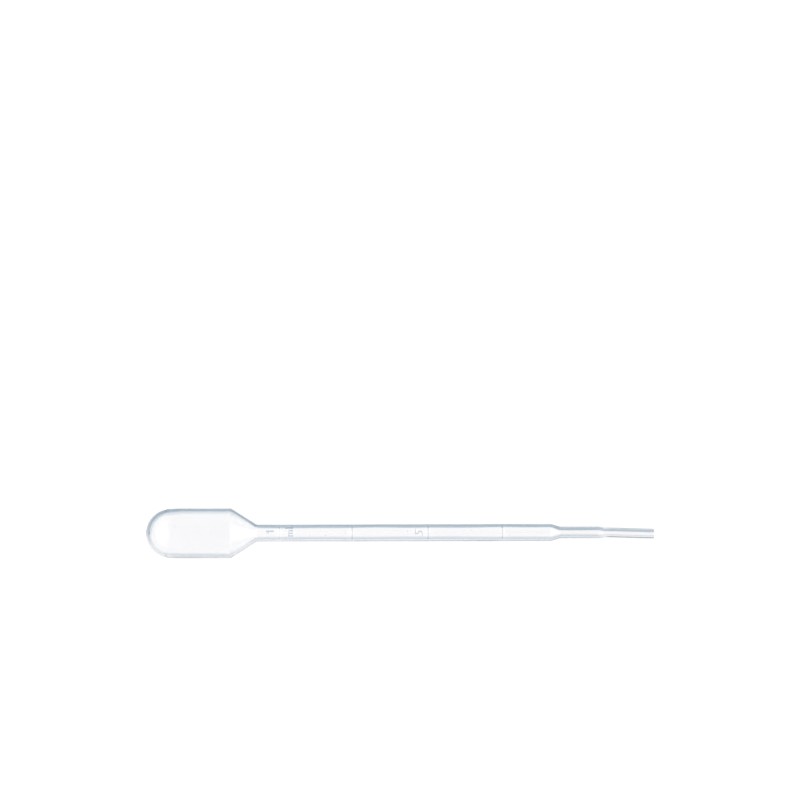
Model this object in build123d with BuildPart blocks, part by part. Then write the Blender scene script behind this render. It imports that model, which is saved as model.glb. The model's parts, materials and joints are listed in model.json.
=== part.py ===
from build123d import *
import os
from math import asin, atan2, cos, degrees, hypot, pi, radians, sin, sqrt, tan

# A small-bulb transfer pipette, blow-moulded in one piece from low-density polyethylene.
# Millimetres, +Z up. It lies as it rests on a flat surface: on a small flat spot at the front of
# its soft bulb and on the underside of its tip. The bulb is at -X and the tip at +X; the marks and
# the lettering face up.
# Distances "along" are measured on the stem's own axis, from the closed end of the bulb.

# Overall
overall_length = 150.0

# Bulb: a domed end, a barrel that widens slightly from the dome, and a cone down to the stem
bulb_diameter = 14.6
bulb_length = 25.0  # closed end to the front shoulder
bulb_wall = 0.55
dome_wall = 0.8  # at the closed end; from there it thins out to the barrel's
dome_inset = 0.25  # the dome's radius is this much under the barrel's
dome_lip = 1.35  # the dome stops this far short of its own equator
seam_width = 0.45  # the small step where the mould's end insert meets the barrel
barrel_draft = 0.14  # the barrel is this much slimmer, on the radius, at that seam
draft_length = 4.3
cone_length = 7.5
shoulder_radius = 0.6  # outer edge between barrel and cone
neck_radius = 1.2  # hollow corner between cone and stem
resting_flat = 0.08  # the soft shoulder flattens this far under the pipette's own weight

# Stem
neck_diameter = 4.88
stem_diameter = 4.94
stem_taper = 28.0  # length over which the neck's diameter grows to the stem's
stem_wall = 0.565

# Narrow lower stem
step_length = 2.5
step_round = 4.0  # rounded edge where the stem starts to narrow
step_hollow = 2.5  # and the hollow below it
narrow_diameter = 3.35
narrow_length = 11.5
narrow_wall = 0.675

# Tip: the last stretch, very slightly bent to one side
tip_step = 1.7
tip_step_round = 1.0
tip_diameter = 2.8
tip_length = 14.7
tip_wall = 0.65
tip_bend = 1.7  # degrees
tip_bend_radius = 60.0

# Graduation: raised rings, one for each quarter millilitre, and raised lettering
ring_volume = 250.0  # cubic millimetres held below each ring for every ring up to it
ring_slips = (0, 0, 0.5, 0)  # how far the mould has each ring from its true place, to the bulb's side
ring_margin = 2.0  # a ring stands at least this far from the neck
ring_height = 0.09
ring_section = 0.3  # radius of the ring's rounded section
letter_height = 0.16
stroke_width = 0.3
capital_height = 2.1
small_height = 1.25
arch_radius = 0.4  # of the m
foot_length = 0.9  # of the L
flag_length = 0.6  # of the 1 and the 5
bowl_radius = 0.65  # of the 5
point_radius = 0.2
point_gap = 0.55  # from the point to the 5
unit_gap = 0.8  # from the m to the L
one_left = 0.65  # the 1, the unit and the 5 stand this far to the side of the stem's middle
unit_left = -0.8
five_left = -0.15
letter_offset = 1.75  # from a ring to the base of the numeral above it
unit_offset = 1.8  # from the top ring to the top of the unit below it

# Worked out from the sizes above
bulb_radius = bulb_diameter / 2
stem_radius = stem_diameter / 2
tip_radius = tip_diameter / 2
dome_radius = bulb_radius - dome_inset
dome_end = dome_radius - dome_lip
dome_end_radius = sqrt(dome_radius**2 - dome_lip**2)
barrel_start = dome_end + seam_width
neck = bulb_length + cone_length
tip_start = overall_length - tip_length
narrow_end = tip_start - tip_step
narrow_start = narrow_end - narrow_length
stem_end = narrow_start - step_length
taper_end = neck + stem_taper
cone_angle = atan2(bulb_radius - neck_diameter / 2, cone_length)
stem_bore = stem_diameter - 2 * stem_wall
narrow_bore = narrow_diameter - 2 * narrow_wall
tip_bore = tip_diameter - 2 * tip_wall


def bore_volume(length, start, end):
    """What a round bore holds whose diameter runs evenly from start to end."""
    return pi * length / 12 * (start**2 + start * end + end**2)


# Each ring stands where the bore from the tip's mouth up to it holds its share of a millilitre.
held_below_stem = (
    bore_volume(tip_length, tip_bore, tip_bore)
    + bore_volume(tip_step, tip_bore, narrow_bore)
    + bore_volume(narrow_length, narrow_bore, narrow_bore)
    + bore_volume(step_length, narrow_bore, stem_bore)
)
ring_places = []
for ring, slip in enumerate(ring_slips, start=1):
    place = stem_end - (ring * ring_volume - held_below_stem) / bore_volume(1, stem_bore, stem_bore)
    if place > neck + ring_margin:
        ring_places.append(place - slip)

# How it lies. The surface runs through the resting flat and touches what it meets first in front
# of it: the tip's lower edge or, on a thicker stem, the rounded front of the stem.
bend = radians(tip_bend)
bend_length = tip_bend_radius * bend
straight_tip = tip_length - bend_length
tip_end = tip_start + tip_bend_radius * sin(bend) + straight_tip * cos(bend)
step_angle = atan2(stem_radius - narrow_diameter / 2, step_length)
stem_front = stem_end - step_round * tan(step_angle / 2)
shoulder_along = bulb_length - shoulder_radius * tan(cone_angle / 2)


def tilt_onto(along, out, rounding):
    """The tilt at which the surface touches a rounded edge, centred this far along and out."""
    span = along - shoulder_along
    drop = bulb_radius - shoulder_radius - out
    return atan2(drop, span) + asin((shoulder_radius - resting_flat - rounding) / hypot(span, drop))


rest_tilt = min(
    tilt_onto(tip_end, tip_radius, 0),
    tilt_onto(stem_front, stem_radius - step_round, step_round),
)
end_height = (
    shoulder_along * sin(rest_tilt)
    + (bulb_radius - shoulder_radius) * cos(rest_tilt)
    + shoulder_radius
    - resting_flat
)
front_reach = tip_end * cos(rest_tilt) + tip_radius * sqrt(1 - (cos(bend) * cos(rest_tilt)) ** 2)
back_reach = dome_radius * (1 - cos(rest_tilt))

bulb_end = Vector((back_reach - front_reach) / 2, 0, end_height)
along_stem = Vector(cos(rest_tilt), 0, -sin(rest_tilt))
above_stem = Vector(sin(rest_tilt), 0, cos(rest_tilt))
long_axis = Axis(bulb_end, along_stem)
side_plane = Plane(origin=bulb_end, x_dir=along_stem, z_dir=(0, -1, 0))
plan_plane = Plane(origin=bulb_end, x_dir=along_stem, z_dir=above_stem)


def stem_radius_at(along):
    """Outer radius of the stem: it grows evenly from the neck to the end of its taper."""
    grown = min((along - neck) / stem_taper, 1.0)
    return neck_diameter / 2 + grown * (stem_diameter - neck_diameter) / 2


def letter_plane(baseline, left):
    """A glyph's own plane: x runs across the stem, y up the stem to the bulb, z out of it."""
    corner = bulb_end + along_stem * baseline + Vector(0, left, 0)
    return Plane(origin=corner, x_dir=(0, 1, 0), z_dir=above_stem)


def one():
    """1: a flag and a stem."""
    with BuildLine() as strokes:
        Polyline((-flag_length, capital_height - flag_length), (0, capital_height), (0, 0))
    trace(strokes.line, line_width=stroke_width)


def small_m():
    """m: a leg, and two arches that each end in a leg."""
    crown = small_height - arch_radius
    with BuildLine() as strokes:
        Line((0, 0), (0, small_height))
    trace(strokes.line, line_width=stroke_width)
    for left in (0, 2 * arch_radius):
        with BuildLine() as strokes:
            RadiusArc((left, crown), (left + 2 * arch_radius, crown), arch_radius)
            Line((left + 2 * arch_radius, crown), (left + 2 * arch_radius, 0))
        trace(strokes.line, line_width=stroke_width)


def capital_l():
    """L: a stem and a foot."""
    with BuildLine() as strokes:
        Polyline((0, capital_height), (0, 0), (foot_length, 0))
    trace(strokes.line, line_width=stroke_width)


def five():
    """5: a flag, a short stem and an open bowl."""
    with BuildLine() as strokes:
        Polyline((flag_length + bowl_radius, capital_height), (0, capital_height), (0, 2 * bowl_radius))
        ThreePointArc((0, 2 * bowl_radius), (2 * bowl_radius, bowl_radius), (0, 0))
    trace(strokes.line, line_width=stroke_width)


# The axis of the tip: a short bend in plan, then straight to the open end
with BuildLine(plan_plane) as tip_axis:
    curve = JernArc((tip_start, 0), (1, 0), tip_bend_radius, -tip_bend)
    Line(curve @ 1, (tip_end, -tip_bend_radius * (1 - cos(bend)) - straight_tip * sin(bend)))
tip_mouth = Plane(origin=tip_axis.line @ 0, z_dir=along_stem)

# Lettering: engraved in the mould with a cutter, so every stroke has one width. Each glyph is
# drawn flat, raised through the wall and trimmed to stand a little above the stem.
# The 1 stands above the fourth ring and its unit below it, and .5 stands above the second ring.

with BuildPart() as lettering:
    for whole_ring in ring_places[3:4]:
        unit_base = whole_ring + unit_offset + capital_height
        with BuildSketch(letter_plane(whole_ring - letter_offset, one_left)):
            one()
        with BuildSketch(letter_plane(unit_base, unit_left)):
            small_m()
        with BuildSketch(letter_plane(unit_base, unit_left + 4 * arch_radius + unit_gap)):
            capital_l()
    for half_ring in ring_places[1:2]:
        with BuildSketch(letter_plane(half_ring - letter_offset, five_left - point_gap)):
            Circle(point_radius)
        with BuildSketch(letter_plane(half_ring - letter_offset, five_left)):
            five()
    extrude(amount=bulb_radius)
    with BuildSketch(side_plane):
        with BuildLine():
            Polyline(
                (neck, 0),
                (neck, neck_diameter / 2 + letter_height),
                (taper_end, stem_radius + letter_height),
                (stem_end, stem_radius + letter_height),
                (stem_end, 0),
                close=True,
            )
        make_face()
    revolve(axis=long_axis, mode=Mode.INTERSECT)

with BuildPart() as pipette:
    # Outside of the bulb, the stem and the narrow lower stem
    with BuildSketch(side_plane):
        with BuildLine():
            dome_middle = (dome_radius * (1 - sqrt(0.5)), dome_radius * sqrt(0.5))
            ThreePointArc((0, 0), dome_middle, (dome_end, dome_end_radius))
            FilletPolyline(
                (dome_end, dome_end_radius),
                (barrel_start, bulb_radius - barrel_draft),
                (barrel_start + draft_length, bulb_radius),
                (bulb_length, bulb_radius),
                (neck, neck_diameter / 2),
                (taper_end, stem_radius),
                (stem_end, stem_radius),
                (narrow_start, narrow_diameter / 2),
                (narrow_end, narrow_diameter / 2),
                (tip_start, tip_radius),
                (tip_start, 0),
                radius=[0, 0, shoulder_radius, neck_radius, 0, step_round, step_hollow,
                        tip_step_round, 0],
            )
            Line((tip_start, 0), (0, 0))
        make_face()
    revolve(axis=long_axis)

    # Outside of the bent tip
    with BuildSketch(tip_mouth):
        Circle(tip_radius)
    sweep(path=tip_axis.line)

    # Raised rings
    for ring_place in ring_places:
        with BuildSketch(side_plane):
            with Locations((ring_place, stem_radius_at(ring_place) + ring_height - ring_section)):
                Circle(ring_section)
        revolve(axis=long_axis)

    # Raised lettering
    add(lettering.part)

    # The hollow: the bulb's inside, the cone, the stem's bore and the narrow bore
    with BuildSketch(side_plane):
        with BuildLine():
            inner_dome = dome_radius - bulb_wall
            inner_bulb = bulb_radius - bulb_wall
            corner_shift = bulb_wall * tan(cone_angle / 2)
            inner_centre = dome_wall + inner_dome
            inner_middle = (inner_centre - inner_dome * sqrt(0.5), inner_dome * sqrt(0.5))
            ThreePointArc((dome_wall, 0), inner_middle, (inner_centre, inner_dome))
            FilletPolyline(
                (inner_centre, inner_dome),
                (barrel_start + draft_length, inner_bulb),
                (bulb_length - corner_shift, inner_bulb),
                (neck - corner_shift, stem_bore / 2),
                (stem_end, stem_bore / 2),
                (narrow_start, narrow_bore / 2),
                (narrow_end, narrow_bore / 2),
                (tip_start, tip_bore / 2),
                (tip_start, 0),
                radius=[0, shoulder_radius, neck_radius, step_round, step_hollow,
                        tip_step_round, 0],
            )
            Line((tip_start, 0), (dome_wall, 0))
        make_face()
    revolve(axis=long_axis, mode=Mode.SUBTRACT)

    # The tip's bore
    with BuildSketch(tip_mouth):
        Circle(tip_bore / 2)
    sweep(path=tip_axis.line, mode=Mode.SUBTRACT)

    # The flat spot under the bulb's shoulder
    with Locations((bulb_end.X + shoulder_along, 0, 0)):
        Box(
            bulb_length,
            bulb_diameter,
            bulb_diameter,
            align=(Align.CENTER, Align.CENTER, Align.MAX),
            mode=Mode.SUBTRACT,
        )

pipette.part.label = "pipette"
print(f"rest tilt {degrees(rest_tilt):.3f} degrees, solid {pipette.part.volume:.1f} cubic mm")

os.makedirs("parts", exist_ok=True)
export_step(pipette.part, "parts/pipette.step")
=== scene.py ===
"""A dropper pipette moulded in one piece, lying on a pale studio floor.

The shell is one closed surface: its outside, the rim of its open tip and its inside are a single
outline carried round the pipette's own axis. The frame gives that axis and the sizes that other
things fit to. Lengths are in metres.
"""

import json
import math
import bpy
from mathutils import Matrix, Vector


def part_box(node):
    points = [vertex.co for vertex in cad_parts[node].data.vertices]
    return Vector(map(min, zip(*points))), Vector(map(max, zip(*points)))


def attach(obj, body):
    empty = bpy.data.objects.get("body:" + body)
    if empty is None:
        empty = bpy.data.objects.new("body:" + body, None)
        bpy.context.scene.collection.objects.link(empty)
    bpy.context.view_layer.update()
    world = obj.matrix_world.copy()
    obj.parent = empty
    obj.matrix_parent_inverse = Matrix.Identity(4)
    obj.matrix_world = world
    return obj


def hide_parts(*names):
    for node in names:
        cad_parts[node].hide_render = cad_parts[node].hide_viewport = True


bl_info = {
    "name": "Dropper Pipette",
    "version": (1, 0, 0),
    "blender": (4, 5, 0),
    "location": "3D View > Sidebar > Pipette",
    "description": "Builds the looks of a moulded dropper pipette and the studio it lies in",
    "category": "Object",
}

import bpy
import numpy as np
from bpy.props import FloatProperty, FloatVectorProperty, IntProperty, PointerProperty
from mathutils import Vector

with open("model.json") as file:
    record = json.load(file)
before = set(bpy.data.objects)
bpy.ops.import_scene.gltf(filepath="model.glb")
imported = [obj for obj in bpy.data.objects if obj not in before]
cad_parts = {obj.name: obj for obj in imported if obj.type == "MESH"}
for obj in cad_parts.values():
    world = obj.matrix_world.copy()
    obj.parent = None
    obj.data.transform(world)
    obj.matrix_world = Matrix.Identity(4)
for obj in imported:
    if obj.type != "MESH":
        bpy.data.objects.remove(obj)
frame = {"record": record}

NODE = "pipette"
MM = 0.001
TINY = 1e-6
CORNER_STEPS = 9  # points on each rounded corner of an outline

# The lettering. What is "left" is measured to one side of the stem's middle.
FLAG = 0.6 * MM  # of the 1 and the 5
ARCH_RADIUS = 0.4 * MM  # of the m
FOOT = 0.9 * MM  # of the L
BOWL_RADIUS = 0.65 * MM  # of the 5
ONE_LEFT = 0.65 * MM
UNIT_LEFT = -0.8 * MM
CAPITAL_LEFT = UNIT_LEFT + 2.4 * MM
FIVE_LEFT = -0.15 * MM
POINT_LEFT = FIVE_LEFT - 0.55 * MM

# How far the painted light round a mark reaches, where the tint gives way to white: wholly up to
# the first distance, and not at all past the second.
RING_PAINTED_LIGHT = (0.5 * MM, 1.1 * MM)
LETTER_PAINTED_LIGHT = (0.3 * MM, 0.8 * MM)

LAMP_ASIDE = 1.1
LAMP_HEIGHT = 0.75
LAMP_SIZE = 0.9
LAMP_POWER = 3.0
FLOOR_HALF = 3.0
FLOOR_DROP = 0.1 * MM  # the floor is this far under the pipette
CARD_HEIGHT = 0.02 * MM
CARD_REACH = 26 * MM
AIM_HEIGHT = 5 * MM

# The frame's own sizes: the stem and the tip as the mounts state them, and the box.
MOUNTS = {mount["name"]: mount for mount in frame["record"]["mounts"]}
STEM_MIDDLE = np.array(MOUNTS["stem"]["pos_m"])
STEM_AXIS = np.array(MOUNTS["stem"]["axis"])
STEM_RADIUS = MOUNTS["stem"]["dims"]["r_mm"] * MM
STEM_WALL_LENGTH = MOUNTS["stem"]["dims"]["length_mm"] * MM
TIP_AXIS = np.array(MOUNTS["tip"]["axis"])
TIP_RADIUS = MOUNTS["tip"]["dims"]["r_mm"] * MM
TIP_STRAIGHT = MOUNTS["tip"]["dims"]["length_mm"] * MM
TIP_BORE_RADIUS = MOUNTS["tip_bore"]["dims"]["r_mm"] * MM
BOX_LOW, BOX_HIGH = (np.array(corner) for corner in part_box(NODE))
BULB_RADIUS = (BOX_HIGH[1] - BOX_LOW[1]) / 2
TIP_BEND = float(np.arccos(np.clip(STEM_AXIS @ TIP_AXIS, -1, 1)))


def length(name, description, default_mm):
    """A size that a user may change, given in millimetres and held in metres."""
    return FloatProperty(
        name=name, description=description, default=default_mm * MM, min=0.0, unit="LENGTH", precision=5
    )


def colour(name, description, default):
    """A colour that a user may change."""
    return FloatVectorProperty(
        name=name, description=description, default=default, subtype="COLOR", min=0.0, max=1.0, size=3
    )


def number(name, description, default):
    """A plain number that a user may change."""
    return FloatProperty(name=name, description=description, default=default)


class PipetteSizes(bpy.types.PropertyGroup):
    """Sizes of the moulding that the frame doesn't state."""

    overall_length: length("Length", "From the closed end of the bulb to the open tip", 150.0)
    dome_inset: length("Dome inset", "How much the dome's radius is under the barrel's", 0.25)
    dome_lip: length("Dome lip", "How far the dome stops short of its equator", 1.35)
    seam_width: length("Seam width", "Step where the mould's end insert meets the barrel", 0.45)
    barrel_draft: length("Barrel draft", "How much slimmer the barrel is at that seam", 0.14)
    draft_length: length("Draft length", "Length over which the barrel reaches full size", 4.3)
    bulb_length: length("Bulb length", "From the closed end to the shoulder", 25.0)
    bulb_wall: length("Bulb wall", "Thickness of the bulb's wall", 0.55)
    dome_wall: length("Dome wall", "Thickness of the wall at the bulb's closed end", 0.8)
    cone_length: length("Cone length", "From the shoulder to the neck", 7.5)
    shoulder_round: length("Shoulder round", "Outer edge between the barrel and the cone", 0.6)
    neck_round: length("Neck round", "Hollow corner between the cone and the stem", 1.2)
    neck_diameter: length("Neck diameter", "The stem's diameter at the neck", 4.88)
    stem_taper: length("Stem taper", "Length over which the neck grows to the stem", 28.0)
    stem_wall: length("Stem wall", "Thickness of the stem's wall", 0.565)
    step_length: length("Step length", "Length of the step down from the stem", 2.5)
    step_round: length("Step round", "Rounded edge at the start of that step", 4.0)
    step_hollow: length("Step hollow", "Hollow corner at the end of that step", 2.5)
    narrow_diameter: length("Narrow diameter", "Diameter of the narrow lower stem", 3.35)
    narrow_length: length("Narrow length", "Length of the narrow lower stem", 11.5)
    narrow_wall: length("Narrow wall", "Thickness of the narrow stem's wall", 0.675)
    tip_step: length("Tip step", "Length of the step down to the tip", 1.7)
    tip_step_round: length("Tip step round", "Rounding where that step starts", 1.0)
    tip_length: length("Tip length", "Length of the tip along its bend", 14.7)
    rim_round: length("Rim round", "Rounded edge of the open tip", 0.08)


class PipetteMarks(bpy.types.PropertyGroup):
    """The raised graduation."""

    lowest_ring: length("Lowest ring", "From the closed end to the ring nearest the tip", 104.981)
    ring_pitch: length("Ring pitch", "Distance between two rings, a quarter of a millilitre", 21.928)
    ring_count: IntProperty(name="Rings", description="Number of raised rings", default=4, min=4, max=6)
    third_slip: length("Third ring's slip", "How far the third ring stands too near the bulb", 0.5)
    ring_height: length("Ring height", "How far a ring stands out", 0.09)
    ring_width: length("Ring width", "Width of a ring", 0.46)
    letter_height: length("Letter height", "How far a glyph stands out", 0.16)
    stroke_width: length("Stroke width", "Width of a glyph's stroke", 0.3)
    edge_softness: length("Edge softness", "Width of the slope at a stroke's edge", 0.1)
    capital_height: length("Capital height", "Height of a numeral or a capital", 2.1)
    small_height: length("Small height", "Height of a small letter", 1.25)
    letter_offset: length("Letter offset", "From a ring to the numeral above it", 1.75)
    unit_offset: length("Unit offset", "From the top ring to the unit below it", 1.8)


class PipetteFinish(bpy.types.PropertyGroup):
    """The plastic: clear to slightly milky low-density polyethylene, with painted shade at its edges and
    on its marks' crests, and painted light beside the marks.
    """

    tint: colour("Tint", "Colour that light takes on at the surface", (0.984, 0.981, 0.986))
    depth_tint: colour("Depth tint", "Colour that light takes on inside the wall", (0.30, 0.42, 0.60))
    depth_density: number("Depth density", "How fast the wall takes up light, per metre", 22.0)
    # Painted shade: the edge tint is partly the plastic's deeper tint seen edge on and partly shade
    # painted on the wall's edges.
    grazing_tint_and_shade: colour("Edge tint", "Colour of the wall seen nearly edge on", (0.32, 0.42, 0.53))
    tip_tint: colour(
        "Tip tint", "Colour that light takes on at the drawn-down tip", (0.955, 0.948, 0.958)
    )
    # Painted shade: the tip's near-black edge tint is mostly shade painted on the tip's edges.
    tip_grazing_tint_and_shade: colour(
        "Tip edge tint", "Colour of the drawn-down tip seen nearly edge on", (0.02, 0.06, 0.11)
    )
    # Painted shade on the marks' crests; the mould's specks take the same colour.
    crest_shade_and_speck_tint: colour("Mark tint", "Colour of the crests of the raised marks", (0.52, 0.59, 0.70))
    refraction: number("Refraction", "Index of refraction", 1.51)
    gloss_low: number("Least roughness", "Where the mould was smoothest", 0.03)
    gloss_high: number("Most roughness", "Where the mould was dullest", 0.10)


class PipetteStudio(bpy.types.PropertyGroup):
    """The floor, the lamps, the shade card and the camera."""

    frame_width: length("Frame width", "Width of the view at the pipette", 236.15)
    aim_back: length("Aim back", "How far to the bulb's side the camera looks", 0.17)
    aim_side: length("Aim side", "How far to the pipette's side the camera looks", 39.21)
    lens: number("Lens", "Focal length in millimetres", 200.0)
    roll: FloatProperty(
        name="Roll", description="The camera's turn about its own line of sight",
        default=math.radians(-0.05), subtype="ANGLE", unit="ROTATION",
    )
    card_colour: colour("Card colour", "Colour of the shade card beside the pipette", (0.435, 0.54, 0.625))
    overhead: number("Overhead", "Brightness of the light all round and overhead", 1.0)
    horizon: number("Horizon", "Brightness of the light near the floor", 0.86)
    side_light: number("Side light", "Brightness of the soft light to the left and the right", 1.5)


# ---------------------------------------------------------------- outlines


def smooth(value, start, end):
    """A smooth step: nought before start, one past end, 3t squared less 2t cubed between."""
    t = np.clip((value - start) / (end - start), 0, 1)
    return t * t * (3 - 2 * t)


def fillet(before, corner, after, radius, steps):
    """A corner rounded by an arc.

    The arc leaves the first side and meets the second at radius * tan(turn / 2) from the corner.
    Its points turn evenly about a centre one radius to the inner side of the first tangent point.
    """
    first = (corner - before) / np.linalg.norm(corner - before)
    second = (after - corner) / np.linalg.norm(after - corner)
    turn = np.arctan2(first[0] * second[1] - first[1] * second[0], first @ second)
    side = np.sign(turn)
    start = corner - first * radius * np.tan(abs(turn) / 2)
    inward = side * np.array([-first[1], first[0]])
    angles = np.linspace(0, abs(turn), steps)[:, None]
    return start + radius * (np.sin(angles) * first + (1 - np.cos(angles)) * inward)


def rounded_line(corners, radii, steps=CORNER_STEPS):
    """Straight runs between corners, each inner corner rounded by its radius."""
    corners = np.array(corners, float)
    pieces = [corners[:1]]
    for before, corner, after, radius in zip(corners, corners[1:], corners[2:], radii, strict=False):
        if radius:
            pieces.append(fillet(before, corner, after, radius, steps))
        else:
            pieces.append(corner[None])
    pieces.append(corners[-1:])
    return np.concatenate(pieces)


def dome_line(start, radius, end, steps=40):
    """A dome's outline, from the axis at start to the distance end along it.

    It is an arc about a centre one radius along from start: its places are the centre less the
    radius times the cosine of an angle along the axis, and the radius times its sine away from it.
    """
    centre = start + radius
    angles = np.linspace(0, np.arccos((centre - end) / radius), steps)
    return np.column_stack([centre - radius * np.cos(angles), radius * np.sin(angles)])


def sample(outline, spacing, dense):
    """The outline at chosen distances along itself.

    The distances are the outline's own points, even steps of spacing between them, and finer steps
    through each (from, to, step) stretch in dense, which is given by distance along the axis. Of
    two that would nearly meet, only the first is kept.
    """
    nearest = 8e-6
    run = np.concatenate([[0], np.cumsum(np.linalg.norm(np.diff(outline, axis=0), axis=1))])
    places = [run, np.arange(0, run[-1], spacing)]
    for start, end, step in dense:
        stretch = np.arange(start, end, step)
        places.append(np.interp(stretch, outline[:, 0], run))
    at = np.unique(np.round(np.concatenate(places), 8))
    at = at[np.concatenate([[True], np.diff(at) > nearest])]
    return np.column_stack([np.interp(at, run, outline[:, 0]), np.interp(at, run, outline[:, 1])])


class Outline:
    """The pipette's places along its axis, and the outlines of its outside and inside."""

    def __init__(self, sizes):
        self.neck = sizes.bulb_length + sizes.cone_length
        self.taper_end = self.neck + sizes.stem_taper
        self.tip_start = sizes.overall_length - sizes.tip_length
        self.narrow_end = self.tip_start - sizes.tip_step
        self.narrow_start = self.narrow_end - sizes.narrow_length
        self.stem_end = self.narrow_start - sizes.step_length
        self.end = sizes.overall_length
        self.sizes = sizes
        self.stem_middle = self.taper_end + STEM_WALL_LENGTH / 2
        self.closed_end = STEM_MIDDLE - STEM_AXIS * self.stem_middle

    def outside(self):
        """The outer outline, from the closed end of the bulb to the rim of the tip."""
        s = self.sizes
        dome_radius = BULB_RADIUS - s.dome_inset
        dome_end = dome_radius - s.dome_lip
        barrel_start = dome_end + s.seam_width
        seam_round = 0.6 * MM
        dome = dome_line(0, dome_radius, dome_end)
        rest = rounded_line(
            [
                dome[-1],
                (barrel_start, BULB_RADIUS - s.barrel_draft),
                (barrel_start + s.draft_length, BULB_RADIUS),
                (s.bulb_length, BULB_RADIUS),
                (self.neck, s.neck_diameter / 2),
                (self.taper_end, STEM_RADIUS),
                (self.stem_end, STEM_RADIUS),
                (self.narrow_start, s.narrow_diameter / 2),
                (self.narrow_end, s.narrow_diameter / 2),
                (self.tip_start, TIP_RADIUS),
                (self.end, TIP_RADIUS),
                (self.end, (TIP_RADIUS + TIP_BORE_RADIUS) / 2),
            ],
            [seam_round, 0, s.shoulder_round, s.neck_round, 0, s.step_round, s.step_hollow,
             s.tip_step_round, s.tip_step_round, s.rim_round],
        )
        return np.concatenate([dome, rest[1:]])

    def inside(self):
        """The inner outline, from the closed end of the bulb to the rim of the tip."""
        s = self.sizes
        dome_radius = BULB_RADIUS - s.dome_inset
        inner_dome = dome_radius - s.bulb_wall
        inner_bulb = BULB_RADIUS - s.bulb_wall
        bore = STEM_RADIUS - s.stem_wall
        narrow_bore = s.narrow_diameter / 2 - s.narrow_wall
        slope = np.arctan2(BULB_RADIUS - s.neck_diameter / 2, s.cone_length)
        shift = s.bulb_wall * np.tan(slope / 2)
        dome = dome_line(s.dome_wall, inner_dome, s.dome_wall + inner_dome)
        rest = rounded_line(
            [
                dome[-1],
                (dome_radius - s.dome_lip + s.seam_width + s.draft_length, inner_bulb),
                (s.bulb_length - shift, inner_bulb),
                (self.neck - shift, bore),
                (self.stem_end, bore),
                (self.narrow_start, narrow_bore),
                (self.narrow_end, narrow_bore),
                (self.tip_start, TIP_BORE_RADIUS),
                (self.end, TIP_BORE_RADIUS),
                (self.end, (TIP_RADIUS + TIP_BORE_RADIUS) / 2),
            ],
            [0, s.shoulder_round, s.neck_round, s.step_round, s.step_hollow, s.tip_step_round, 0,
             s.rim_round],
        )
        return np.concatenate([dome, rest[1:]])

    def axis_at(self, along):
        """Centre, sideways and upward directions of the pipette's axis at each distance along it.

        The axis is straight to the tip, turns by the tip's bend on an arc, and is straight again.
        On the arc the turn is (distance past its start) / (its radius), which the frame's straight
        stretch of tip leaves room for.
        """
        bend_length = max(self.sizes.tip_length - TIP_STRAIGHT, TINY)
        radius = bend_length / max(TIP_BEND, TINY)
        past = np.clip(along - self.tip_start, 0, None)
        turn = np.minimum(past, bend_length) / radius
        straight = np.clip(past - bend_length, 0, None)
        forward = np.minimum(along, self.tip_start) + radius * np.sin(turn) + straight * np.cos(turn)
        aside = -radius * (1 - np.cos(turn)) - straight * np.sin(turn)
        side = np.array([0.0, 1.0, 0.0])
        centre = self.closed_end + forward[:, None] * STEM_AXIS + aside[:, None] * side
        sideways = np.sin(turn)[:, None] * STEM_AXIS + np.cos(turn)[:, None] * side
        upward = np.cross(STEM_AXIS, side)
        return centre, sideways, np.broadcast_to(upward, centre.shape)


# ---------------------------------------------------------------- raised marks


def arc_points(centre, radius, start, end, steps=12):
    """Points on a circle in a glyph's plane, between two angles in degrees from +x."""
    angles = np.radians(np.linspace(start, end, steps))
    return [(centre[0] + radius * np.cos(a), centre[1] + radius * np.sin(a)) for a in angles]


def glyph_strokes(marks):
    """Each glyph as strokes: lines of points, x to the right and y up, in metres."""
    tall, small = marks.capital_height, marks.small_height
    arch, crown = ARCH_RADIUS, small - ARCH_RADIUS
    bowl = BOWL_RADIUS
    return {
        "1": [[(-FLAG, tall - FLAG), (0, tall), (0, 0)]],
        "m": [
            [(0, 0), (0, small)],
            [*arc_points((arch, crown), arch, 180, 0), (2 * arch, 0)],
            [*arc_points((3 * arch, crown), arch, 180, 0), (4 * arch, 0)],
        ],
        "L": [[(0, tall), (0, 0), (FOOT, 0)]],
        "5": [
            [(FLAG + bowl, tall), (0, tall), (0, 2 * bowl)],
            arc_points((0, bowl), bowl, 90, -90),
        ],
        ".": [[(0, 0), (0, TINY)]],
    }


def ring_places(marks):
    """Where the rings stand, from the tip's side: evenly spaced, but for the third one's slip."""
    places = marks.lowest_ring - marks.ring_pitch * np.arange(marks.ring_count)
    places[2] -= marks.third_slip
    return places


def near_places(along, places, inner, outer):
    """One at each place and up to inner from it, falling smoothly to nought at outer."""
    gap = np.min(np.abs(along[:, None] - places[None, :]), axis=1)
    return (1 - smooth(gap, inner, outer))[:, None]


def stroke_distance(across, up, strokes):
    """Distance of each place from the nearest stroke.

    For one run of a stroke it is the distance to the nearest point of that run, which is its start
    plus its direction times the place's share along it, held between nought and one.
    """
    nearest = np.full(across.shape, np.inf)
    for stroke in strokes:
        points = np.array(stroke)
        for a, b in zip(points, points[1:], strict=False):
            step = b - a
            share = ((across - a[0]) * step[0] + (up - a[1]) * step[1]) / (step @ step)
            share = np.clip(share, 0, 1)
            nearest = np.minimum(
                nearest, np.hypot(across - a[0] - share * step[0], up - a[1] - share * step[1])
            )
    return nearest


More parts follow.
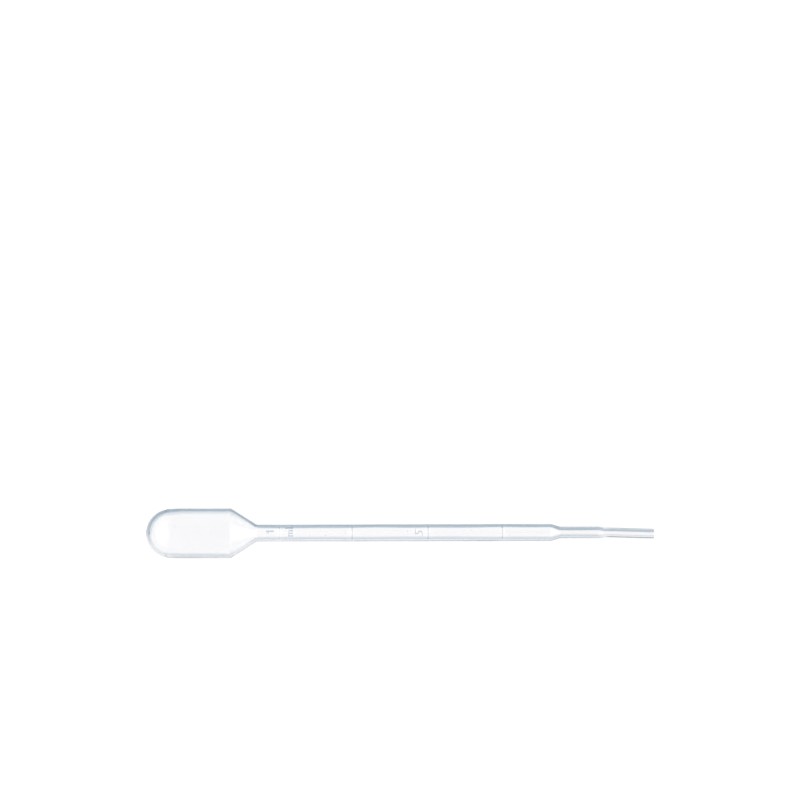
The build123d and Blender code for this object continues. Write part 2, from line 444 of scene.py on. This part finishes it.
def raised_marks(along, radius, angle, marks):
    """How far the outside stands out at each place, for the rings and the glyphs.

    A ring is a raised cosine across its width, and is lower where the mould's halves meet at the
    sides. A glyph is its height times a smooth step that falls from one to nought as the distance
    from its strokes passes half a stroke's width, and is lower towards the sides.

    The second array is for the painted shade on the crests: each place's share of full height, and
    that share's square root on a ring, fainter on the top one. The third is one beside a mark, where
    painted light clears the tint, and fades out with the distance from it.
    """
    crest = np.zeros((len(along), len(angle)))
    rings = ring_places(marks)
    for place in rings:
        share = np.clip(np.abs(along - place) / (marks.ring_width / 2), 0, 1)
        crest += (np.cos(share * np.pi / 2) ** 2)[:, None]
    crest *= 1 - 0.7 * smooth(np.abs(np.sin(angle)), 0.8, 0.95)
    relief = marks.ring_height * crest
    crest = np.sqrt(crest) * (1 - 0.8 * near_places(along, rings[3:], 0.5 * MM, 1 * MM))
    painted_light = np.broadcast_to(near_places(along, rings, *RING_PAINTED_LIGHT), crest.shape)

    across = radius[:, None] * np.sin(angle)[None, :]
    facing = smooth(np.cos(angle), 0.3, 0.75)[None, :]
    edge_from = marks.stroke_width / 2 - marks.edge_softness / 2
    edge_to = marks.stroke_width / 2 + marks.edge_softness / 2
    one_base = rings[3] - marks.letter_offset
    unit_base = rings[3] + marks.unit_offset + marks.capital_height
    half_base = rings[1] - marks.letter_offset
    placed = [
        ("1", one_base, ONE_LEFT),
        ("m", unit_base, UNIT_LEFT),
        ("L", unit_base, CAPITAL_LEFT),
        (".", half_base, POINT_LEFT),
        ("5", half_base, FIVE_LEFT),
    ]
    strokes = glyph_strokes(marks)
    for glyph, base, left in placed:
        up = np.broadcast_to((base - along)[:, None], across.shape)
        away = stroke_distance(across - left, up, strokes[glyph])
        fall = (1 - smooth(away, edge_from, edge_to)) * facing
        relief = np.maximum(relief, marks.letter_height * fall)
        crest = np.maximum(crest, fall)
        painted_light = np.maximum(painted_light, (1 - smooth(away, *LETTER_PAINTED_LIGHT)) * facing)
    return relief, crest, painted_light


# ---------------------------------------------------------------- meshes


def mesh_object(name, points, faces):
    """A new mesh object at the origin, smooth, from an array of points and a list of faces."""
    mesh = bpy.data.meshes.new(name)
    mesh.from_pydata(points.tolist(), [], faces)
    mesh.polygons.foreach_set("use_smooth", np.ones(len(mesh.polygons), bool))
    mesh.validate()
    mesh.update()
    obj = bpy.data.objects.new(name, mesh)
    bpy.context.scene.collection.objects.link(obj)
    return obj


def grid_faces(rows, columns, closed):
    """Four-sided faces of a grid of points, whose last column joins the first if closed."""
    row = np.arange(rows - 1)[:, None] * columns
    column = np.arange(columns if closed else columns - 1)[None, :]
    beside = (column + 1) % columns
    return np.stack(
        [row + column, row + beside, row + columns + beside, row + columns + column], axis=-1
    ).reshape(-1, 4)


def around_angles(count_top, count_rest, top_half=np.radians(44)):
    """Angles round the axis from straight up: closely spaced where the lettering faces up."""
    top = np.linspace(-top_half, top_half, count_top, endpoint=False)
    rest = np.linspace(top_half, 2 * np.pi - top_half, count_rest, endpoint=False)
    return np.concatenate([top, rest])


def wall_drift(along, angle):
    """Uneven thickness left by moulding: a few long waves along the wall and round it.

    Each is a height times the sine of the distance along plus a whole number of turns round.
    """
    a, t = along[:, None] / MM, angle[None, :]
    waves = 0.012 * np.sin(a / 6.1 + 2 * t)
    waves += 0.010 * np.sin(a / 2.9 - 3 * t + 1.3)
    waves += 0.008 * np.sin(a / 11.7 + t)
    return waves * MM


def finish_layers(plan, rings, along, angle, outer_rows, crest, painted_light):
    """The masks that the material reads, for each row along and each angle round.

    The outside's rows come first, and crest and polish cover only them.

    mark is painted shade on the raised marks' crests, less towards the sides.
    Painted light takes the tint away beside the marks, and a little of it on the bulb.
    drawn leads to the tip's own tints: half from the narrow stem on, a tenth more at the tip, and
    all along a line on one side of the tip, which is painted shade.
    The edge tint's share is partly the plastic's deeper tint seen edge on and partly painted shade.
    From the closed end it rises along the bulb, at once near the top and the bottom and sooner on one
    side than on the other. The cone has a quarter of it and the stem all, but none at a ring, and a
    fifth where the tip starts.
    """
    bulb_end = plan.sizes.bulb_length
    outside = (np.arange(len(along)) < outer_rows)[:, None]
    inner_along = along[outer_rows:]
    inner_shape = (len(inner_along), len(angle))

    mark = np.concatenate([crest * smooth(np.cos(angle), 0.25, 0.75), np.zeros(inner_shape)])

    inner_painted_light = np.broadcast_to(near_places(inner_along, rings, *RING_PAINTED_LIGHT), inner_shape)
    barrel = (1 - smooth(along, bulb_end, plan.neck))[:, None]
    painted_light = np.maximum(np.concatenate([painted_light, inner_painted_light]), 0.3 * barrel)

    narrow = smooth(along, plan.stem_end, plan.narrow_start)[:, None]
    at_tip = smooth(along, plan.narrow_end, plan.tip_start)[:, None]
    # Painted shade: a dark line along one side of the tip, deepening its tints and its edges there.
    tip_side_shade = smooth(-np.sin(angle), 0.6, 0.9)[None, :] * outside
    drawn = 0.5 * narrow + at_tip * (0.1 + tip_side_shade)

    # Painted shade: the edge tint comes in sooner on one side of the bulb than on the other.
    sooner = 2.5 * smooth(np.sin(angle), -0.3, 0.5)
    sooner += (5.0 - sooner) * smooth(np.abs(np.cos(angle)), 0.4, 0.8)
    edge_and_shade_share = 0.1 + 0.7 * smooth(along[:, None] + sooner * MM, 3.5 * MM, 9 * MM)
    cone = smooth(along, bulb_end - 1 * MM, bulb_end + 1.5 * MM)[:, None]
    stem = smooth(along, plan.neck - 2 * MM, plan.neck)[:, None]
    edge_and_shade_share = edge_and_shade_share * (1 - 0.75 * cone) * (1 - stem) + stem
    edge_and_shade_share *= 1 - near_places(along, rings, 0.2 * MM, 0.5 * MM)
    edge_and_shade_share *= 1 - 0.8 * near_places(along, np.array([plan.tip_start]), 0.4 * MM, 1.6 * MM)
    return {"mark": mark, "painted_light": painted_light, "drawn": drawn, "edge_and_shade_share": edge_and_shade_share}


def dense_stretches(marks, rings):
    """The stretches (from, to, step) along the outside whose rows are close: rings and glyphs."""
    margin, ring_step, glyph_step = 0.4 * MM, 0.05 * MM, 0.08 * MM
    top, half = rings[3], rings[1]
    tall = marks.letter_offset + marks.capital_height + margin
    return [
        *((place - margin, place + margin, ring_step) for place in rings),
        (top - tall, top - marks.letter_offset + margin, glyph_step),
        (top + marks.unit_offset - 0.3 * MM, top + tall + margin, glyph_step),
        (half - tall, half - marks.letter_offset + margin, glyph_step),
    ]


def shell(sizes, marks):
    """The whole moulding as one closed surface: its points, its faces and the material's masks.

    A point is the axis at its distance along, plus its radius times (sin(angle) sideways +
    cos(angle) upward). The rows run down the outside, round the rim and back up the inside, and
    one point closes each end. Nothing is lower than the surface it lies on, which leaves the small
    flat under the bulb's shoulder.
    """
    plan = Outline(sizes)
    rings = ring_places(marks)
    outside = sample(plan.outside(), 1.6 * MM, dense_stretches(marks, rings))
    inside = sample(plan.inside(), 2.0 * MM, [])[::-1]
    angle = around_angles(count_top=72, count_rest=76)

    relief, crest, painted_light = raised_marks(outside[1:, 0], outside[1:, 1], angle, marks)
    outer_radius = outside[1:, 1][:, None] + relief
    inner = inside[1:-1]
    drift = wall_drift(inner[:, 0], angle) * np.clip((plan.end - inner[:, 0]) / (8 * MM), 0, 1)[:, None]
    inner_radius = inner[:, 1][:, None] + drift * np.clip(inner[:, 1] / (2 * MM), 0, 1)[:, None]
    along = np.concatenate([outside[1:, 0], inner[:, 0]])
    radius = np.concatenate([outer_radius, inner_radius])

    centre, sideways, upward = plan.axis_at(along)
    points = centre[:, None] + radius[..., None] * (
        np.sin(angle)[None, :, None] * sideways[:, None] + np.cos(angle)[None, :, None] * upward[:, None]
    )
    rows, columns = radius.shape
    poles = plan.axis_at(np.array([outside[0, 0], inside[-1, 0]]))[0]
    points = np.concatenate([points.reshape(-1, 3), poles])
    points[:, 2] = np.maximum(points[:, 2], 0.0)

    faces = grid_faces(rows, columns, True)[:, ::-1].tolist()
    ring = np.arange(columns)
    beside = (ring + 1) % columns
    first_pole, last_pole = rows * columns, rows * columns + 1
    last_row = (rows - 1) * columns
    faces += np.column_stack([np.full(columns, first_pole), beside, ring]).tolist()
    faces += np.column_stack([np.full(columns, last_pole), last_row + ring, last_row + beside]).tolist()

    layers = finish_layers(plan, rings, along, angle, len(outer_radius), crest, painted_light)
    return points, faces, {name: np.append(layer.reshape(-1), [0, 0]) for name, layer in layers.items()}


# ---------------------------------------------------------------- materials


def nodes_of(material):
    """An empty node tree for a material, as (nodes, links)."""
    material.use_nodes = True
    tree = material.node_tree
    tree.nodes.clear()
    return tree.nodes, tree.links


def layer_value(nodes, name):
    """One of the mesh's own layers, as a node's output."""
    node = nodes.new("ShaderNodeAttribute")
    node.attribute_name = name
    return node.outputs["Fac"]


def calculated(nodes, links, operation, *terms):
    """A math node's result, whose terms are other nodes' outputs or plain numbers."""
    node = nodes.new("ShaderNodeMath")
    node.operation = operation
    for term, socket in zip(terms, node.inputs, strict=False):
        if isinstance(term, bpy.types.NodeSocket):
            links.new(term, socket)
        else:
            socket.default_value = term
    return node.outputs["Value"]


def remapped(nodes, links, value, start, end, low=0.0, high=1.0, kind="LINEAR"):
    """A value carried from start and end to low and high, and held at both ends."""
    node = nodes.new("ShaderNodeMapRange")
    node.interpolation_type = kind
    for side, limit in (("From Min", start), ("From Max", end), ("To Min", low), ("To Max", high)):
        node.inputs[side].default_value = limit
    links.new(value, node.inputs["Value"])
    return node.outputs["Result"]


def tinted(nodes, links, mask, before, after):
    """A colour mixed from before to after by a mask; each is a colour or another node's output."""
    mix = nodes.new("ShaderNodeMix")
    mix.data_type = "RGBA"
    first, second = (socket for socket in mix.inputs if socket.type == "RGBA")
    for shade, socket in ((before, first), (after, second)):
        if isinstance(shade, bpy.types.NodeSocket):
            links.new(shade, socket)
        else:
            socket.default_value = (*shade, 1.0)
    links.new(mask, mix.inputs["Factor"])
    return next(socket for socket in mix.outputs if socket.type == "RGBA")


def mould_texture_group():
    """Shader group: what the mould left on the plastic.

    Cloud is a slow mottle, Grain a fine orange-peel height and Speck a mask of small inclusions.
    """
    group = bpy.data.node_groups.new("Mould Texture", "ShaderNodeTree")
    socket = group.interface.new_socket
    socket("Vector", in_out="INPUT", socket_type="NodeSocketVector")
    for name in ("Cloud", "Grain", "Speck"):
        socket(name, in_out="OUTPUT", socket_type="NodeSocketFloat")
    nodes, links = group.nodes, group.links
    inlet, outlet = nodes.new("NodeGroupInput"), nodes.new("NodeGroupOutput")
    for name, scale, detail in (("Cloud", 180.0, 2.0), ("Grain", 1400.0, 3.0)):
        noise = nodes.new("ShaderNodeTexNoise")
        noise.inputs["Scale"].default_value = scale
        noise.inputs["Detail"].default_value = detail
        links.new(inlet.outputs["Vector"], noise.inputs["Vector"])
        links.new(noise.outputs["Fac"], outlet.inputs[name])
    cells = nodes.new("ShaderNodeTexVoronoi")
    cells.inputs["Scale"].default_value = 300.0
    links.new(inlet.outputs["Vector"], cells.inputs["Vector"])
    links.new(remapped(nodes, links, cells.outputs["Distance"], 0.07, 0.03), outlet.inputs["Speck"])
    return group


def plastic(finish):
    """The clear plastic: glass with a slight milkiness, tinted by depth, whose shadow is faint. Shade is
    painted at its edges and on its marks' crests, and light beside the marks.
    """
    material = bpy.data.materials.new("clear_polyethylene")
    nodes, links = nodes_of(material)
    place = nodes.new("ShaderNodeTexCoord")
    texture = nodes.new("ShaderNodeGroup")
    texture.node_tree = mould_texture_group()
    links.new(place.outputs["Object"], texture.inputs["Vector"])

    cloud = texture.outputs["Cloud"]
    roughness = remapped(nodes, links, cloud, 0.0, 1.0, finish.gloss_low, finish.gloss_high)

    bump = nodes.new("ShaderNodeBump")
    bump.inputs["Strength"].default_value = 0.08
    bump.inputs["Distance"].default_value = 0.02 * MM
    links.new(texture.outputs["Grain"], bump.inputs["Height"])

    mark, painted_light, drawn, edge_and_shade_share = (
        layer_value(nodes, name) for name in ("mark", "painted_light", "drawn", "edge_and_shade_share")
    )
    # Painted shade: where the wall is seen nearly edge on, the edge tint darkens it by the share layer.
    facing = nodes.new("ShaderNodeLayerWeight").outputs["Facing"]
    sooner = calculated(nodes, links, "MULTIPLY_ADD", drawn, 0.16, facing)
    edge = remapped(nodes, links, sooner, 0.42, 0.78)
    edge_shade_mask = calculated(nodes, links, "MULTIPLY", edge, edge_and_shade_share)
    body = tinted(nodes, links, drawn, finish.tint, finish.tip_tint)
    # Painted light: beside the marks and a little on the bulb, the tint gives way to white.
    clear = tinted(nodes, links, painted_light, body, (1.0, 1.0, 1.0))
    # Painted shade on the crests of the rings and glyphs; the specks take the same colour.
    crest_shaded = tinted(nodes, links, mark, clear, finish.crest_shade_and_speck_tint)
    specked = tinted(nodes, links, texture.outputs["Speck"], crest_shaded, finish.crest_shade_and_speck_tint)
    edge_shade_colour = tinted(nodes, links, drawn, finish.grazing_tint_and_shade, finish.tip_grazing_tint_and_shade)
    edge_shaded = tinted(nodes, links, edge_shade_mask, specked, edge_shade_colour)

    shader = nodes.new("ShaderNodeBsdfPrincipled")
    links.new(edge_shaded, shader.inputs["Base Color"])
    shader.inputs["Transmission Weight"].default_value = 1.0
    shader.inputs["IOR"].default_value = finish.refraction
    links.new(roughness, shader.inputs["Roughness"])
    links.new(bump.outputs["Normal"], shader.inputs["Normal"])

    passing = nodes.new("ShaderNodeBsdfTransparent")
    passing.inputs["Color"].default_value = (0.92, 0.93, 0.94, 1.0)
    path = nodes.new("ShaderNodeLightPath")
    choose = nodes.new("ShaderNodeMixShader")
    links.new(path.outputs["Is Shadow Ray"], choose.inputs["Fac"])
    links.new(shader.outputs["BSDF"], choose.inputs[1])
    links.new(passing.outputs["BSDF"], choose.inputs[2])

    depth = nodes.new("ShaderNodeVolumeAbsorption")
    depth.inputs["Color"].default_value = (*finish.depth_tint, 1.0)
    depth.inputs["Density"].default_value = finish.depth_density

    outlet = nodes.new("ShaderNodeOutputMaterial")
    links.new(choose.outputs["Shader"], outlet.inputs["Surface"])
    links.new(depth.outputs["Volume"], outlet.inputs["Volume"])
    return material


def background_rays(nodes, links, share):
    """A mask for the rays that see a backdrop: from the camera, a reflection or through plastic."""
    rays = nodes.new("ShaderNodeLightPath").outputs
    seen = calculated(nodes, links, "MAXIMUM", rays["Is Camera Ray"], rays["Is Glossy Ray"])
    seen = calculated(nodes, links, "MAXIMUM", seen, rays["Is Transmission Ray"])
    return calculated(nodes, links, "MULTIPLY", seen, share)


def floor_material():
    """Pale floor: white where it is seen, with a small share of real shading for the shadow."""
    material = bpy.data.materials.new("pale_floor")
    nodes, links = nodes_of(material)
    matt = nodes.new("ShaderNodeBsdfDiffuse")
    matt.inputs["Color"].default_value = (0.9, 0.9, 0.9, 1.0)
    glow = nodes.new("ShaderNodeEmission")
    mix = nodes.new("ShaderNodeMixShader")
    outlet = nodes.new("ShaderNodeOutputMaterial")
    links.new(background_rays(nodes, links, 0.82), mix.inputs["Fac"])
    links.new(matt.outputs["BSDF"], mix.inputs[1])
    links.new(glow.outputs["Emission"], mix.inputs[2])
    links.new(mix.outputs["Shader"], outlet.inputs["Surface"])
    return material


def card_material(card_colour):
    """The shade card: white, darkened to its colour by the card's own shade layer."""
    material = bpy.data.materials.new("shade_card")
    nodes, links = nodes_of(material)
    shade = layer_value(nodes, "shade")
    glow = nodes.new("ShaderNodeEmission")
    links.new(tinted(nodes, links, shade, (1.0, 1.0, 1.0), card_colour), glow.inputs["Color"])
    outlet = nodes.new("ShaderNodeOutputMaterial")
    links.new(glow.outputs["Emission"], outlet.inputs["Surface"])
    return material


# ---------------------------------------------------------------- operators


class PIPETTE_OT_moulding(bpy.types.Operator):
    """Build the pipette's shell, in place of the frame's plain node"""

    bl_idname = "pipette.moulding"
    bl_label = "Pipette Moulding"

    def execute(self, context):
        scene = context.scene
        points, faces, layers = shell(scene.pipette_sizes, scene.pipette_marks)
        piece = mesh_object("pipette_shell", points, faces)
        for name, values in layers.items():
            layer = piece.data.attributes.new(name, "FLOAT", "POINT")
            layer.data.foreach_set("value", values.astype(np.float32))
        piece.data.materials.append(plastic(scene.pipette_finish))
        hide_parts(NODE)
        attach(piece, "root")
        return {"FINISHED"}


def area_lamp(name, place, size, power):
    """A square area lamp at place, pointed at the pipette's middle."""
    data = bpy.data.lights.new(name, "AREA")
    data.shape = "SQUARE"
    data.size = size
    data.energy = power
    lamp = bpy.data.objects.new(name, data)
    lamp.location = place
    lamp.rotation_euler = (Vector((0, 0, 0)) - Vector(place)).to_track_quat("-Z", "Y").to_euler()
    bpy.context.scene.collection.objects.link(lamp)


def card_shade(plan, along, out_side, out_back, radius, away):
    """How dark the card is at each row and each distance away from the pipette's outline.

    Going outward the shade starts, is full, holds and fades, each at its own distance. These are
    in millimetres, for the stations along the strong side and the pale side and for the dome.
    Beside the bulb's strong side a paler margin runs on under the bulb itself.
    """
    stations = np.array([
        plan.sizes.bulb_length, plan.neck, 90 * MM, plan.stem_end,
        plan.narrow_start, plan.narrow_end, plan.tip_start,
    ])

    def by_station(values):
        return np.interp(along, stations, values)

    def distances(strong, pale, round_dome):
        """A distance from the outline for each row: by station on both sides, and behind the dome."""
        beside = np.where(out_side > 0, by_station(strong), by_station(pale))
        return ((beside + (round_dome - beside) * out_back) * MM)[:, None]

    corner = np.clip(2 * out_side * out_back, 0, 1)
    start = distances(
        [2.0, -0.4, -0.4, -0.5, -0.9, -0.9, -1.2],
        [0.0, -0.6, -1.05, -1.1, -1.1, -1.1, -0.2],
        3.2 - 1.4 * corner,
    )
    full = distances(
        [4.6, 1.2, 0.5, 0.4, 0.1, 0.1, -0.8],
        [0.8, 0.1, -0.4, -0.4, -0.2, -0.2, 0.6],
        8.5 - 3 * corner,
    )
    hold = distances(
        [7.5, 9.0, 5.6, 4.5, 5.0, 5.0, 4.0],
        [2.2, 1.6, 1.8, 1.8, 3.0, 3.0, 1.6],
        15.0,
    )
    fade = distances(
        [17.5, 15.0, 11.0, 10.0, 10.0, 10.0, 9.0],
        [4.6, 4.2, 4.6, 4.6, 6.0, 6.0, 3.2],
        24.0,
    )
    strong = by_station([1.0, 1.0, 1.0, 1.0, 1.0, 0.95, 0.85])
    pale = by_station([0.2, 0.5, 0.54, 0.54, 0.45, 0.42, 0.2])
    strength = pale + (strong - pale) * np.interp(out_side, [-0.5, 0], [0, 1])
    shade = strength[:, None] * smooth(away, start, full) * (1 - 0.85 * smooth(away, hold, fade))

    margin = smooth(radius, STEM_RADIUS, BULB_RADIUS) * (out_side > 0) * (0.22 + 0.3 * corner)
    behind = smooth(out_back, 0, 0.6)[:, None] * MM
    rising = smooth(away, -2.0 * MM + 2.5 * behind, -0.4 * MM + 1.6 * behind)
    shade = np.maximum(shade, margin[:, None] * rising)
    return shade * (1 - smooth(away, 20 * MM, CARD_REACH))


def shade_card(sizes, studio):
    """A card on the floor all round the pipette but for its tip's end.

    Its rows follow the outline at growing distances: beside the barrel and the stem they move
    sideways, and round the dome they fan out from its centre. Its shade is painted shade, a glowing
    sheet that stands in for the shade seen at the pipette's edges: strong on one side and pale on the
    other. The camera doesn't see the card: only the wall's own refractions and reflections do.
    """
    plan = Outline(sizes)
    outline = plan.outside()[:-CORNER_STEPS]
    count = 300
    dome = BULB_RADIUS
    straight = np.linspace(plan.end, dome, count)
    turn = np.linspace(0, np.pi, 90)[1:-1]
    along = np.concatenate([straight, np.full(turn.shape, dome), np.linspace(dome, plan.end, count)])
    out_side = np.concatenate([np.ones(count), np.cos(turn), -np.ones(count)])
    out_back = np.concatenate([np.zeros(count), np.sin(turn), np.zeros(count)])
    radius = np.interp(along, outline[:, 0], outline[:, 1])
    near, far = np.linspace(-2.0, 4.0, 31) * MM, np.linspace(4.0, CARD_REACH / MM, 34)[1:] * MM
    away = np.concatenate([near, far])
    reach = radius[:, None] + away[None, :]
    centre, sideways, _ = plan.axis_at(along)
    flat_axis = np.array([STEM_AXIS[0], 0, 0]) / STEM_AXIS[0]
    points = centre[:, None] + reach[..., None] * (
        out_side[:, None, None] * sideways[:, None] - out_back[:, None, None] * flat_axis
    )
    points[..., 2] = CARD_HEIGHT
    shade = card_shade(plan, along, out_side, out_back, radius, away)

    card = mesh_object("shade_card", points.reshape(-1, 3), grid_faces(*reach.shape, False).tolist())
    layer = card.data.attributes.new("shade", "FLOAT", "POINT")
    layer.data.foreach_set("value", shade.reshape(-1).astype(np.float32))
    card.data.materials.append(card_material(studio.card_colour))
    card.visible_camera = False
    card.visible_diffuse = False
    card.visible_shadow = False
    return card


def studio_world(studio):
    """The studio's soft light: white to the camera, and otherwise two bright sides with a gap.

    Its brightness is overhead's, and rises to side_light's where a direction leans well to the
    left or the right and also well above the floor. Near the floor it falls to horizon's.
    """
    world = bpy.data.worlds.new("studio")
    nodes, links = nodes_of(world)
    place = nodes.new("ShaderNodeTexCoord")
    parts = nodes.new("ShaderNodeSeparateXYZ")
    links.new(place.outputs["Generated"], parts.inputs["Vector"])
    aside = calculated(nodes, links, "ABSOLUTE", parts.outputs["X"])
    height = parts.outputs["Z"]
    to_a_side = remapped(nodes, links, aside, 0.10, 0.30, kind="SMOOTHSTEP")
    well_up = remapped(nodes, links, height, 0.08, 0.30, kind="SMOOTHSTEP")
    off_floor = remapped(nodes, links, height, 0.03, 0.28, kind="SMOOTHSTEP")
    leaning = calculated(nodes, links, "MULTIPLY", to_a_side, well_up)
    rise = studio.overhead - studio.horizon
    level = calculated(nodes, links, "MULTIPLY_ADD", off_floor, rise, studio.horizon)
    more = studio.side_light - studio.overhead
    strength = calculated(nodes, links, "MULTIPLY_ADD", leaning, more, level)
    soft = nodes.new("ShaderNodeBackground")
    links.new(strength, soft.inputs["Strength"])
    soft.inputs["Color"].default_value = (1.0, 1.0, 1.0, 1.0)
    seen = nodes.new("ShaderNodeBackground")
    seen.inputs["Color"].default_value = (1.0, 1.0, 1.0, 1.0)
    path = nodes.new("ShaderNodeLightPath")
    mix = nodes.new("ShaderNodeMixShader")
    links.new(path.outputs["Is Camera Ray"], mix.inputs["Fac"])
    links.new(soft.outputs["Background"], mix.inputs[1])
    links.new(seen.outputs["Background"], mix.inputs[2])
    outlet = nodes.new("ShaderNodeOutputWorld")
    links.new(mix.outputs["Shader"], outlet.inputs["Surface"])
    return world


class PIPETTE_OT_stage(bpy.types.Operator):
    """Lay the floor, set the lamps and the world, and place the camera"""

    bl_idname = "pipette.stage"
    bl_label = "Pipette Stage"

    def execute(self, context):
        scene = context.scene
        studio = scene.pipette_studio
        corners = FLOOR_HALF * np.array([(-1, -1, 0), (1, -1, 0), (1, 1, 0), (-1, 1, 0)])
        corners[:, 2] = -FLOOR_DROP
        floor = mesh_object("floor", corners, [(0, 1, 2, 3)])
        floor.data.materials.append(floor_material())
        shade_card(scene.pipette_sizes, studio)

        for name, aside in (("left_softbox", -LAMP_ASIDE), ("right_softbox", LAMP_ASIDE)):
            area_lamp(name, (aside, 0, LAMP_HEIGHT), LAMP_SIZE, LAMP_POWER)
        scene.world = studio_world(studio)

        data = bpy.data.cameras.new("camera")
        data.lens = studio.lens
        data.sensor_width = 36.0
        data.clip_end = 20.0
        middle = (BOX_LOW + BOX_HIGH) / 2
        aim = Vector((middle[0] - studio.aim_back, middle[1] + studio.aim_side, AIM_HEIGHT))
        distance = studio.frame_width * studio.lens / data.sensor_width
        camera = bpy.data.objects.new("camera", data)
        camera.location = aim + Vector((0, 0, distance))
        camera.rotation_euler = (0.0, 0.0, studio.roll)
        scene.collection.objects.link(camera)
        scene.camera = camera
        scene.view_settings.view_transform = "Standard"
        return {"FINISHED"}


class PIPETTE_PT_panel(bpy.types.Panel):
    """Lists the pieces and the stage in the sidebar"""

    bl_idname = "PIPETTE_PT_panel"
    bl_label = "Dropper Pipette"
    bl_space_type = "VIEW_3D"
    bl_region_type = "UI"
    bl_category = "Pipette"

    def draw(self, context):
        for operator in (PIPETTE_OT_moulding, PIPETTE_OT_stage):
            self.layout.operator(operator.bl_idname)


CLASSES = (
    PipetteSizes, PipetteMarks, PipetteFinish, PipetteStudio,
    PIPETTE_OT_moulding, PIPETTE_OT_stage, PIPETTE_PT_panel,
)
SETTINGS = {
    "pipette_sizes": PipetteSizes,
    "pipette_marks": PipetteMarks,
    "pipette_finish": PipetteFinish,
    "pipette_studio": PipetteStudio,
}


def register():
    for cls in CLASSES:
        bpy.utils.register_class(cls)
    for name, group in SETTINGS.items():
        setattr(bpy.types.Scene, name, PointerProperty(type=group))


def unregister():
    for name in SETTINGS:
        delattr(bpy.types.Scene, name)
    for cls in reversed(CLASSES):
        bpy.utils.unregister_class(cls)


def main():
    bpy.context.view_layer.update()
    register()
    bpy.ops.pipette.moulding()
    bpy.ops.pipette.stage()


if __name__ == "__main__":
    main()
